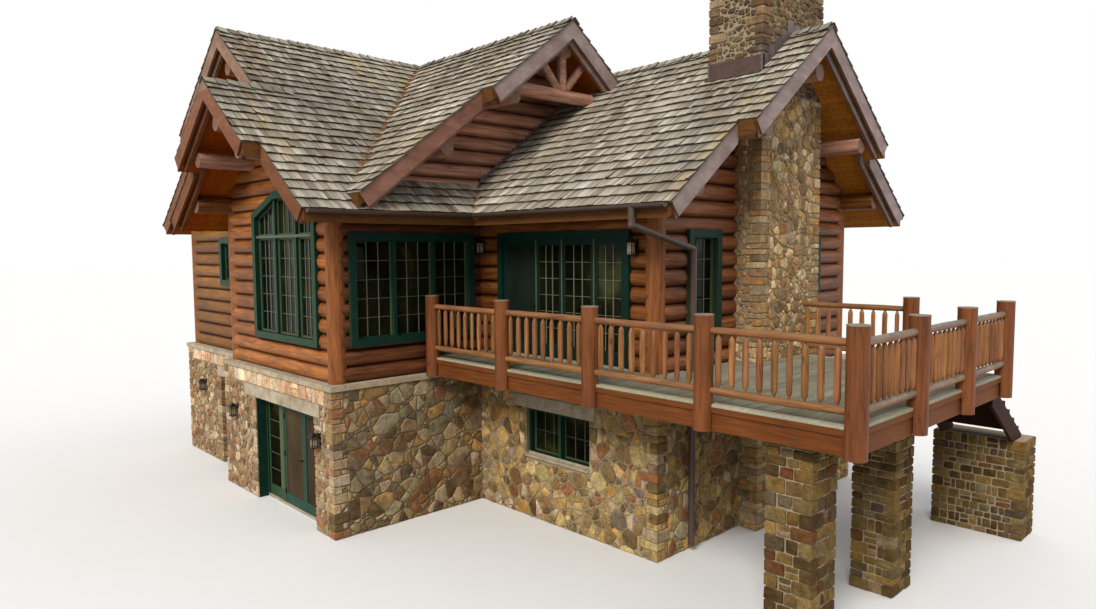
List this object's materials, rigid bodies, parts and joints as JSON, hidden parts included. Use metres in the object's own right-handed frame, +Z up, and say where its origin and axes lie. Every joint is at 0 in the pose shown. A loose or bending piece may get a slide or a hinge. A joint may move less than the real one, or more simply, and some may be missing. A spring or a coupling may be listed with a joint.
{
  "type": "alpine chalet",
  "caption": "Log chalet on a stone walk-out basement, with crossed gable roofs, a tall stone chimney and a railed timber deck with a stair.",
  "frame": {"origin": "on the ground at the patio's level, under the axis of the south-west corner post of the main block", "axes": "+X east along the triple window's wall, +Y north along the bay window's wall, +Z up"},
  "size_m": [12.37, 18.058, 11.25],
  "materials": {
    "stone": "rough rubble with pale mortar",
    "cut_stone": "sawn limestone",
    "logs": "stained, satin",
    "floor_wood": "matte",
    "roof": "weathered shakes",
    "barge_wood": "stained, matte",
    "gutter_metal": "satin",
    "green_wood": "painted, satin",
    "glass": "clear",
    "bronze": "satin",
    "deck_wood": "weathered, matte",
    "rail_wood": "stained, satin",
    "pale_metal": "satin"
  },
  "bodies": {
    "house": {"basement_floor": "stone", "basement_cross_walls": "stone", "basement_long_walls": "stone", "basement_door_heads": "stone", "stone_lintels": "cut_stone", "stone_ledge": "cut_stone", "chimney": "stone", "chimney_cap": "cut_stone", "main_floor": "floor_wood", "corner_posts": "logs", "log_wall_bay": "logs", "log_wall_south": "logs", "log_wall_west": "logs", "log_wall_north": "logs", "log_wall_east": "logs", "log_wall_wing_west": "logs", "log_wall_wing_south": "logs", "log_gable_middle": "logs", "wall_plates": "logs", "purlins": "logs", "gable_truss": "logs", "roof_main_south": "roof", "roof_north_slopes": "roof", "roof_middle": "roof", "roof_wing_west": "roof", "roof_wing_east": "roof", "barge_boards": "barge_wood", "gutters": "gutter_metal", "bay_window": "green_wood", "window_frames": "green_wood", "deck_doors": "green_wood", "window_glass": "glass", "door_frames": "green_wood", "lanterns": "bronze", "deck_boards": "deck_wood", "deck_rim": "deck_wood", "deck_joists": "deck_wood", "deck_piers": "stone", "deck_posts": "rail_wood", "deck_post_caps": "pale_metal", "deck_rails": "rail_wood", "stair_stringers": "deck_wood", "stair_treads": "deck_wood"},
    "patio_screen_south": {"patio_screen_south": "green_wood"},
    "patio_screen_north": {"patio_screen_north": "green_wood"},
    "side_door": {"side_door": "green_wood"}
  },
  "joints": [
    {"name": "patio_screen_south_hinge", "type": "hinge", "parent": "house", "child": "patio_screen_south", "pos_m": [-0.048, 0.489, 1], "axis": [0, 0, 1], "range_deg": [0, 90]},
    {"name": "patio_screen_north_hinge", "type": "hinge", "parent": "house", "child": "patio_screen_north", "pos_m": [-0.048, 2.196, 1], "axis": [0, 0, -1], "range_deg": [0, 90]},
    {"name": "side_door_hinge", "type": "hinge", "parent": "house", "child": "side_door", "pos_m": [0.437, 5.439, 1], "axis": [0, 0, 1], "range_deg": [0, 90]}
  ]
}
